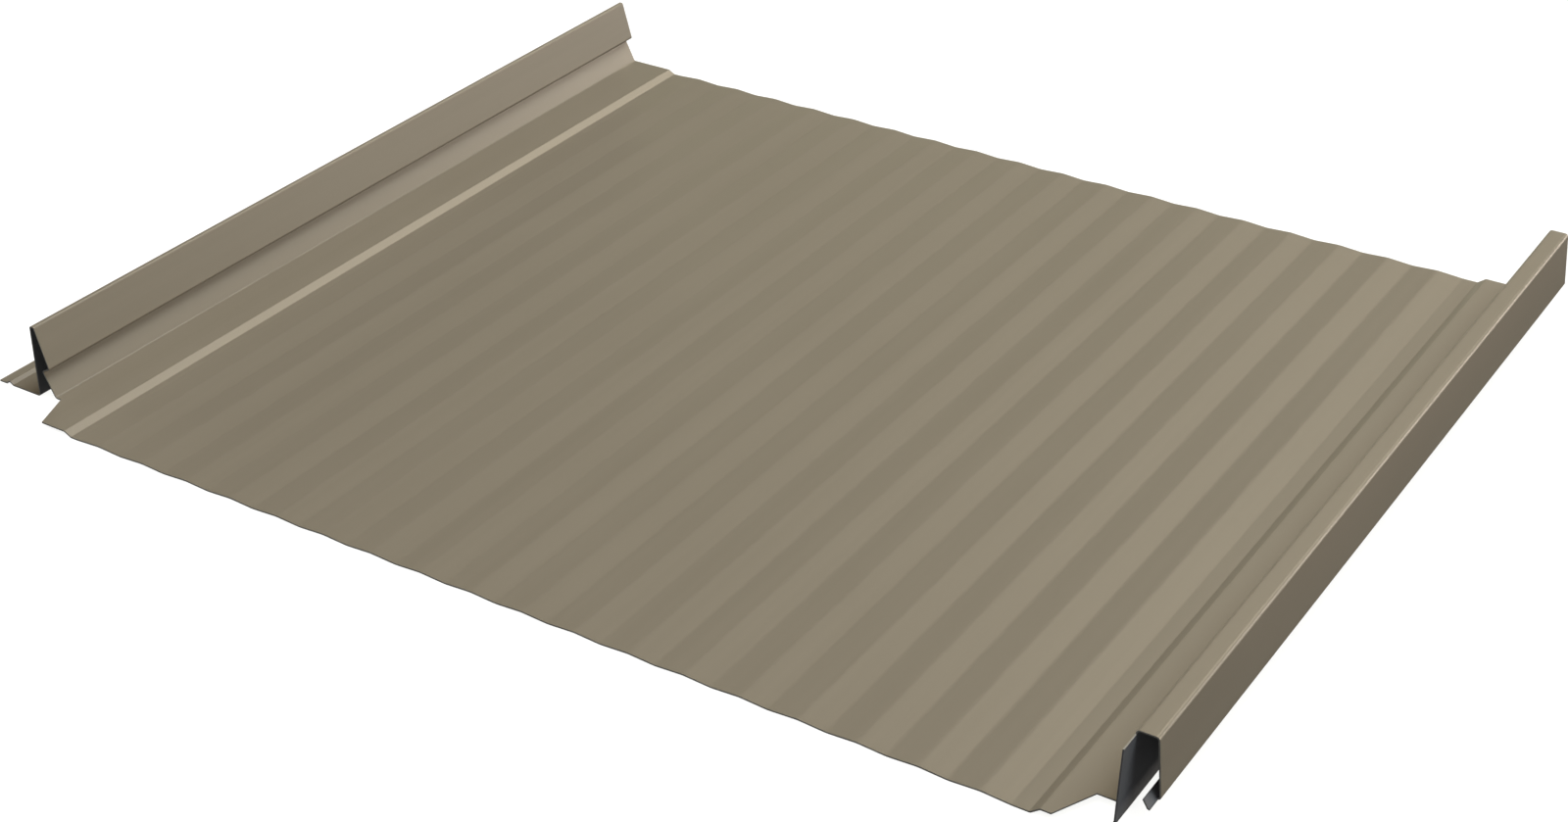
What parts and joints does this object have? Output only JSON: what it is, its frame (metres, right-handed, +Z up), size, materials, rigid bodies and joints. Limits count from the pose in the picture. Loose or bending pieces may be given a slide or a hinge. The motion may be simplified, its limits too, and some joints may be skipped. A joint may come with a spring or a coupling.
{
  "type": "standing seam roof panel",
  "caption": "Roll-formed roof panel: a striated pan between a barbed male seam with a slotted nailing flange and a square female seam with a snap hook; notched at the eave end.",
  "frame": {"origin": "on the floor under the middle of the panel's width and length", "axes": "+X across the panel from the male seam to the female seam, +Y along the seams from the eave end to the far end, +Z up"},
  "size_m": [0.4334, 0.35, 0.0281],
  "materials": {
    "coated_steel": "low-gloss taupe coil coating on the weather side, charcoal backer coat underneath"
  },
  "bodies": {
    "root": {"roof_panel": "coated_steel"}
  },
  "joints": []
}
